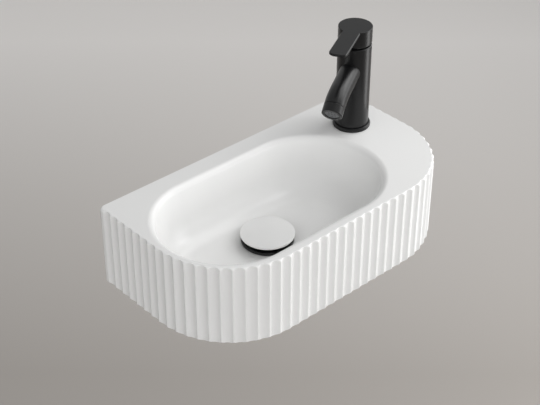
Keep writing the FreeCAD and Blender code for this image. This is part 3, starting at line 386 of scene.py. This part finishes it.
# Wall fixing: zinc-plated hanger bolts in the wall, nylon bushes that keep steel off the china,
# and a washer and nut on each bolt, drawn up from inside the skirt.
def zinc_plate():
    """Bright zinc on steel: a grey metal with a fine cloudy passivation."""
    material, tree = start_material("zinc_plated_steel")
    place = add(tree, "ShaderNodeTexCoord")
    spot = {"Vector": place.outputs["Object"]}
    cloud = add(tree, "ShaderNodeTexNoise", {"Scale": 1 / (3 * MM), "Detail": 4.0}, spot)
    tint = add(tree, "ShaderNodeValToRGB", links={"Fac": cloud.outputs["Fac"]})
    tint.color_ramp.elements[0].color = colour("#9a9ca0")
    tint.color_ramp.elements[1].color = colour("#c4c6c8")
    rough = add(
        tree, "ShaderNodeMapRange", {"To Min": 0.22, "To Max": 0.42}, {"Value": cloud.outputs["Fac"]})
    shader = add(
        tree, "ShaderNodeBsdfPrincipled", {"Metallic": 1.0},
        {"Base Color": tint.outputs["Color"], "Roughness": rough.outputs["Result"]})
    finish_material(tree, shader)
    return material


def moulded_finish(name, dark, light, rough_low, rough_high, grain_mm):
    """Moulded plastic or rubber, or lapped ceramic: a soft sheen over a fine grain.
    The grain is drawn coarser than the real one, so that it shows."""
    material, tree = start_material(name)
    place = add(tree, "ShaderNodeTexCoord")
    spot = {"Vector": place.outputs["Object"]}
    grain = add(tree, "ShaderNodeTexNoise", {"Scale": 1 / (grain_mm * MM), "Detail": 3.0}, spot)
    tint = add(tree, "ShaderNodeValToRGB", links={"Fac": grain.outputs["Fac"]})
    tint.color_ramp.elements[0].color = colour(dark)
    tint.color_ramp.elements[1].color = colour(light)
    rough = add(
        tree, "ShaderNodeMapRange", {"To Min": rough_low, "To Max": rough_high},
        {"Value": grain.outputs["Fac"]})
    bump = add(
        tree, "ShaderNodeBump", {"Strength": 0.15, "Distance": 0.03 * MM}, {"Height": grain.outputs["Fac"]})
    shader = add(
        tree, "ShaderNodeBsdfPrincipled", {"IOR": 1.5},
        {"Base Color": tint.outputs["Color"], "Roughness": rough.outputs["Result"],
         "Normal": bump.outputs["Normal"]})
    finish_material(tree, shader)
    return material


def even_shade(piece, degrees):
    """Smooth shading that follows the larger faces, so that broken edges stay crisp."""
    smooth(piece, degrees)
    even = piece.modifiers.new("even_shading", "WEIGHTED_NORMAL")
    even.keep_sharp = True
    bpy.ops.object.modifier_apply(modifier=even.name)


FACET_WELD = 0.002 * MM
FLAT_ANGLE = math.radians(0.4)
EDGE_ANGLE = math.radians(35)
EDGE_SEGMENTS = 2


def finished_copy(node, body, material, edge_mm=0.3, degrees=30):
    """Copy of a machined or moulded solid with its facets joined and its edges broken.
    A copy with no body is attached to nothing."""
    select_none()
    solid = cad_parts[node]
    piece = bpy.data.objects.new(node + "_finished", solid.data.copy())
    bpy.context.scene.collection.objects.link(piece)
    bpy.context.view_layer.objects.active = piece
    piece.select_set(True)
    bpy.ops.object.mode_set(mode="EDIT")
    bpy.ops.mesh.select_all(action="SELECT")
    bpy.ops.mesh.remove_doubles(threshold=FACET_WELD)
    bpy.ops.mesh.dissolve_limited(angle_limit=FLAT_ANGLE)
    bpy.ops.object.mode_set(mode="OBJECT")
    if edge_mm > 0:
        broken = piece.modifiers.new("broken_edge", "BEVEL")
        broken.width = edge_mm * MM
        broken.segments = EDGE_SEGMENTS
        broken.limit_method = "ANGLE"
        broken.angle_limit = EDGE_ANGLE
        bpy.ops.object.modifier_apply(modifier=broken.name)
    even_shade(piece, degrees)
    wear_finish(piece, material)
    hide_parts(node)
    if body is not None:
        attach(piece, body)
    return piece


THREAD_FACETS = 28
ROWS_PER_PITCH = 6
DIE_CLEARANCE = 0.02 * MM
DIE_WALL = 3 * MM
FLANK_GAIN = 1.25
CREST_FLAT = 0.1


def cut_thread(piece, start, axis, radius, pitch, depth, length, run_out=0.0):
    """Cuts a screw thread as a die does, from the end at start, shallower over its last run_out."""
    turn = Vector(axis).to_track_quat("Z", "Y")
    around = THREAD_FACETS
    rows = math.ceil(ROWS_PER_PITCH * length / pitch)
    teeth = []
    for row in range(rows + 1):
        along = length * row / rows
        bite = depth * min(1.0, (length - along) / run_out) if run_out else depth
        loop = []
        for k in range(around):
            a = 2 * math.pi * k / around
            flank = abs(2 * ((along / pitch - k / around) % 1) - 1)
            r = radius + DIE_CLEARANCE - bite * min(1.0, max(0.0, FLANK_GAIN * flank - CREST_FLAT))
            loop.append(Vector(start) + turn @ Vector((r * math.cos(a), r * math.sin(a), along)))
        teeth.append(loop)
    for along in (length, 0.0):
        r = radius + DIE_WALL
        bend = [2 * math.pi * k / around for k in range(around)]
        outer = [Vector((r * math.cos(a), r * math.sin(a), along)) for a in bend]
        teeth.append([Vector(start) + turn @ corner for corner in outer])
    cut_away(piece, ring_mesh("thread_die", teeth))
    even_shade(piece, degrees=30)


zinc = zinc_plate()
nylon = moulded_finish("natural_nylon", "#d3d1c8", "#e2e0d8", 0.4, 0.55, 0.8)
MACHINE_START = -29.5 * MM
MACHINE_R = 5 * MM
MACHINE_PITCH = 1.5 * MM
MACHINE_DEPTH = 0.92 * MM
MACHINE_LENGTH = 30.5 * MM
WOOD_START = 2.5 * MM
WOOD_R = 4.75 * MM
WOOD_PITCH = 4.5 * MM
WOOD_DEPTH = 1.4 * MM
WOOD_LENGTH = 44 * MM
bolts = finished_copy("wall_bolts", "fixed", zinc, 0.2)
for side in (-1, 1):
    machine_end = (side * WALL_HOLE_X, MACHINE_START, 0)
    cut_thread(
        bolts, machine_end, (0, 1, 0), MACHINE_R, MACHINE_PITCH, MACHINE_DEPTH, MACHINE_LENGTH,
        MACHINE_PITCH)
    wood_end = (side * WALL_HOLE_X, WOOD_START, 0)
    cut_thread(bolts, wood_end, (0, 1, 0), WOOD_R, WOOD_PITCH, WOOD_DEPTH, WOOD_LENGTH, WOOD_PITCH)
finished_copy("wall_bolt_bushes", "fixed", nylon)
finished_copy("wall_bolt_washers", "fixed", zinc, 0.2)
finished_copy("wall_bolt_nuts", "fixed", zinc, 0.3)


# Waste: a black flanged brass body pulled down on the bowl floor by a backnut,
# with a thin seal above the china and a tapered one below it.
def black_coat(name, low, high, rough_low, rough_high):
    """Electrophoretic satin black on brass: soft broad highlights and a very fine grain.
    The grain is drawn coarser than the real one, so that it shows."""
    material, tree = start_material(name)
    place = add(tree, "ShaderNodeTexCoord")
    spot = {"Vector": place.outputs["Object"]}
    grain = add(tree, "ShaderNodeTexNoise", {"Scale": 1 / (0.6 * MM), "Detail": 3.0}, spot)
    cloud = add(tree, "ShaderNodeTexNoise", {"Scale": 1 / (22 * MM), "Detail": 2.0}, spot)
    tint = add(tree, "ShaderNodeValToRGB", links={"Fac": cloud.outputs["Fac"]})
    tint.color_ramp.elements[0].color = colour(low)
    tint.color_ramp.elements[1].color = colour(high)
    rough = add(
        tree, "ShaderNodeMapRange", {"To Min": rough_low, "To Max": rough_high},
        {"Value": grain.outputs["Fac"]})
    bump = add(
        tree, "ShaderNodeBump", {"Strength": 0.1, "Distance": 0.02 * MM}, {"Height": grain.outputs["Fac"]})
    shader = add(
        tree, "ShaderNodeBsdfPrincipled", {"IOR": 1.45},
        {"Base Color": tint.outputs["Color"], "Roughness": rough.outputs["Result"],
         "Normal": bump.outputs["Normal"]})
    finish_material(tree, shader)
    return material


def turned_brass():
    """Turned yellow brass: a warm metal whose fine tool marks read as a mottle.
    The mottle is drawn coarser than the real marks, so that it shows."""
    material, tree = start_material("turned_brass")
    place = add(tree, "ShaderNodeTexCoord")
    spot = {"Vector": place.outputs["Object"]}
    marks = add(tree, "ShaderNodeTexNoise", {"Scale": 1 / (1.5 * MM), "Detail": 3.0}, spot)
    tint = add(tree, "ShaderNodeValToRGB", links={"Fac": marks.outputs["Fac"]})
    tint.color_ramp.elements[0].color = colour("#a98a4a")
    tint.color_ramp.elements[1].color = colour("#d0b270")
    rough = add(
        tree, "ShaderNodeMapRange", {"To Min": 0.25, "To Max": 0.4}, {"Value": marks.outputs["Fac"]})
    shader = add(
        tree, "ShaderNodeBsdfPrincipled", {"Metallic": 1.0},
        {"Base Color": tint.outputs["Color"], "Roughness": rough.outputs["Result"]})
    finish_material(tree, shader)
    return material


satin_black = black_coat("satin_black_coat", "#0e0e0f", "#131314", 0.27, 0.34)
brass = turned_brass()
rubber = moulded_finish("epdm_rubber", "#141414", "#222222", 0.65, 0.8, 1.0)
waste = finished_copy("waste_body", "fixed", satin_black, 0.2)
THREAD_LEAD = 0.5 * MM
TAIL_R = 20.95 * MM
TAIL_PITCH = 2.309 * MM
TAIL_DEPTH = 1.48 * MM
TAIL_LENGTH = 42.5 * MM
tail_end = (DRAIN.x, DRAIN.y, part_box("waste_body")[0].z - THREAD_LEAD)
cut_thread(waste, tail_end, (0, 0, 1), TAIL_R, TAIL_PITCH, TAIL_DEPTH, TAIL_LENGTH)
finished_copy("waste_flange_seal", "fixed", rubber, 0.15)
finished_copy("waste_under_seal", "fixed", rubber, 0.4)
finished_copy("waste_slip_washer", "fixed", nylon, 0.2)
finished_copy("waste_backnut", "fixed", brass, 0.4)

# Plug: a white domed cap on a brass stem. A press latches it down on its conical seal,
# and the next press lets the spring lift it again. The spring's foot stays on the click housing.
grey_acetal = moulded_finish("grey_acetal", "#5f6062", "#6d6e70", 0.35, 0.5, 0.8)
finished_copy("plug_cap", "plug", china, 0.5)
finished_copy("plug_carrier", "plug", grey_acetal, 0.3)
finished_copy("plug_seal", "plug", rubber, 0.3)
finished_copy("plug_stem", "plug", brass, 0.2)
finished_copy("click_housing", "fixed", grey_acetal, 0.3)
spring = finished_copy("plug_spring", None, zinc, 0)
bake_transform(spring)

# Tap body: a brass casting with its spout, bored from above for the cartridge, coated satin black.
# It stands on a stepped ring and a rubber gasket over the tap hole.
finished_copy("tap_base_gasket", "fixed", rubber, 0.2)
finished_copy("tap_base_ring", "fixed", satin_black, 0.3)
finished_copy("tap_body", "fixed", satin_black, 0.3)

# Aerator: a threaded metal ring on the end of the spout, coated satin black like the tap body.
# It holds a moulded plastic flow straightener and a rubber seal.
finished_copy("aerator_housing", "fixed", satin_black, 0.2)
finished_copy("aerator_insert", "fixed", grey_acetal, 0.2)
finished_copy("aerator_seal", "fixed", rubber, 0.2)

# Cartridge: two lapped ceramic discs in a plastic housing. The stem tips on a pin in the carrier,
# slides the upper disc to open the water and turns it to mix.
alumina = moulded_finish("lapped_alumina", "#dcd8cf", "#e8e5de", 0.2, 0.3, 0.8)
finished_copy("cartridge_seal", "fixed", rubber, 0.1)
finished_copy("cartridge_base", "fixed", grey_acetal, 0.2)
finished_copy("fixed_disc", "fixed", alumina, 0.2)
finished_copy("moving_disc", "disc", alumina, 0.2)
finished_copy("cartridge_housing", "fixed", grey_acetal, 0.2)
finished_copy("cartridge_carrier", "carrier", grey_acetal, 0.2)
finished_copy("stem_pin", "carrier", zinc, 0.2)
finished_copy("cartridge_stem", "lever", zinc, 0.2)
finished_copy("cartridge_nut", "fixed", brass, 0.2)
finished_copy("cartridge_cover", "fixed", satin_black, 0.2)

# Handle: a hollow cast metal collar with a flat lever, coated satin black like the tap body.
# It sits on the cartridge stem, and a steel grub screw behind holds it there.
finished_copy("handle", "lever", satin_black, 0.5)
finished_copy("handle_grub_screw", "lever", zinc, 0.2)

# Tap fixing: a zinc-plated stud in the foot of the tap, with a rubber and a steel horseshoe washer
# under the deck. A nut on the stud draws the tap down.
finished_copy("tap_rubber_horseshoe", "fixed", rubber, 0.3)
finished_copy("tap_steel_horseshoe", "fixed", zinc, 0.2)
stud = finished_copy("tap_fixing_stud", "fixed", zinc, 0.3)
stud_low, stud_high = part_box("tap_fixing_stud")
STUD_R = 4 * MM
STUD_PITCH = 1.25 * MM
STUD_DEPTH = 0.77 * MM
stud_end = ((stud_low.x + stud_high.x) / 2, (stud_low.y + stud_high.y) / 2, stud_low.z - THREAD_LEAD)
stud_length = stud_high.z - stud_low.z + 2 * THREAD_LEAD
cut_thread(stud, stud_end, (0, 0, 1), STUD_R, STUD_PITCH, STUD_DEPTH, stud_length)
finished_copy("tap_fixing_nut", "fixed", zinc, 0.3)

# Studio: a pale floor well below the basin whose seen colour is painted shade, darker towards the camera
# and paler far off, a window-sized softbox on the right with smaller ones above, below and in front of it,
# and soft air light that is weakest above and behind the basin.
FLOOR_LEVEL = -0.75
FLOOR_SIZE = 14
# Direction and stops of the painted shade in the floor's seen colour: darker near the camera, paler far
# off.
FLOOR_SHADE_SLOPE = (0.28, 0.31, 0.0)
NEAR_SHADE_AT = 0.2
MIDDLE_SHADE_AT = 0.44
FAR_SHADE_AT = 0.76
select_none()
bpy.ops.mesh.primitive_plane_add(size=FLOOR_SIZE, location=(0, 0, FLOOR_LEVEL))
floor = bpy.context.object
floor.name = "studio_floor"


def floor_with_painted_shade():
    material, tree = start_material("floor_with_painted_shade")
    place = add(tree, "ShaderNodeTexCoord")
    shade_along = add(
        tree, "ShaderNodeVectorMath", {"operation": "DOT_PRODUCT", 1: FLOOR_SHADE_SLOPE},
        {0: place.outputs["Object"]})
    # Painted shade: the floor's seen colour runs from a dark grey near the camera to a pale one far off,
    # standing in for shade and light on it.
    tint = add(tree, "ShaderNodeValToRGB", links={"Fac": shade_along.outputs["Value"]})
    tint.color_ramp.elements[0].position = NEAR_SHADE_AT
    tint.color_ramp.elements[0].color = colour("#b0aba6")
    tint.color_ramp.elements[1].position = FAR_SHADE_AT
    tint.color_ramp.elements[1].color = colour("#f4f1ee")
    tint.color_ramp.elements.new(MIDDLE_SHADE_AT).color = colour("#cecac6")
    seen = add(tree, "ShaderNodeBsdfDiffuse", links={"Color": tint.outputs["Color"]})
    unseen = add(tree, "ShaderNodeBsdfDiffuse", {"Color": colour("#a29f9c")})
    path = add(tree, "ShaderNodeLightPath")
    looked_at = add(
        tree, "ShaderNodeMath", {"operation": "MAXIMUM"},
        {0: path.outputs["Is Camera Ray"], 1: path.outputs["Is Glossy Ray"]})
    shader = add(
        tree, "ShaderNodeMixShader",
        links={0: looked_at.outputs[0], 1: unseen.outputs[0], 2: seen.outputs[0]})
    finish_material(tree, shader)
    return material


wear_finish(floor, floor_with_painted_shade())


def softbox(name, location, target, size, watts):
    light = bpy.data.lights.new(name, "AREA")
    light.shape = "RECTANGLE"
    light.size, light.size_y = size
    light.energy = watts
    lamp = bpy.data.objects.new(name, light)
    bpy.context.scene.collection.objects.link(lamp)
    lamp.location = location
    lamp.rotation_euler = (Vector(target) - Vector(location)).to_track_quat("-Z", "Y").to_euler()


AIM = (0, -0.1, 0.05)
softbox("window_softbox", (1.35, -0.36, 0.55), AIM, (1.3, 1.0), 6.5)
softbox("high_softbox", (1.0, -0.3, 1.1), AIM, (1.0, 1.0), 7)
softbox("key_softbox", (1.0, -0.95, 0.08), AIM, (0.9, 0.9), 3)
softbox("low_softbox", (0.95, -0.62, -0.42), AIM, (0.4, 0.6), 2)

AIR_FADE = (-0.2, -0.7, -0.42)
AIR_LEVEL = 0.8
MIRRORED_LEVEL = 0.5
world = bpy.data.worlds.new("studio_air")
world.use_nodes = True
world.node_tree.nodes.clear()
air = world.node_tree
toward = add(air, "ShaderNodeTexCoord")
slope = add(
    air, "ShaderNodeVectorMath", {"operation": "DOT_PRODUCT", 1: AIR_FADE},
    {0: toward.outputs["Generated"]})
raised = add(air, "ShaderNodeMath", {"operation": "ADD", 1: AIR_LEVEL}, {0: slope.outputs["Value"]})
level_light = add(air, "ShaderNodeMath", {"operation": "MAXIMUM", 1: 0.0}, {0: raised.outputs[0]})
sky = add(air, "ShaderNodeBackground", {"Color": colour("#ffffff")}, {"Strength": level_light.outputs[0]})
mirrored = add(air, "ShaderNodeBackground", {"Color": colour("#ffffff"), "Strength": MIRRORED_LEVEL})
ray = add(air, "ShaderNodeLightPath")
both = add(
    air, "ShaderNodeMixShader",
    links={0: ray.outputs["Is Glossy Ray"], 1: sky.outputs[0], 2: mirrored.outputs[0]})
add(air, "ShaderNodeOutputWorld", links={"Surface": both.outputs[0]})
bpy.context.scene.world = world

# Camera: a portrait lens high on the left, looking down into the bowl.
# Its place and focal length were fitted to the basin's outline in the photograph.
AZIMUTH = math.radians(-42.0175)
ELEVATION = math.radians(34.8994)
ROLL = math.radians(0.1349)
DISTANCE = 1.58196
SHIFT_RIGHT = 0.047678
SHIFT_UP = -0.070143
FOCAL_PIXELS = 1286.547
PICTURE_WIDTH = 540
SENSOR_WIDTH = 36
behind = Vector((
    math.sin(AZIMUTH) * math.cos(ELEVATION), -math.cos(AZIMUTH) * math.cos(ELEVATION), math.sin(ELEVATION)))
level = Vector((math.cos(AZIMUTH), math.sin(AZIMUTH), 0))
upright = behind.cross(level)
right = math.cos(ROLL) * level + math.sin(ROLL) * upright
up = math.cos(ROLL) * upright - math.sin(ROLL) * level
camera = bpy.data.objects.new("camera", bpy.data.cameras.new("camera"))
bpy.context.scene.collection.objects.link(camera)
camera.data.sensor_width = SENSOR_WIDTH
camera.data.lens = FOCAL_PIXELS * SENSOR_WIDTH / PICTURE_WIDTH
camera.matrix_world = Matrix((right, up, behind)).transposed().to_4x4()
camera.location = SHIFT_RIGHT * right + SHIFT_UP * up + DISTANCE * behind + Vector((0, 0, RIM))
bpy.context.scene.camera = camera

bpy.context.scene.view_settings.view_transform = "Standard"
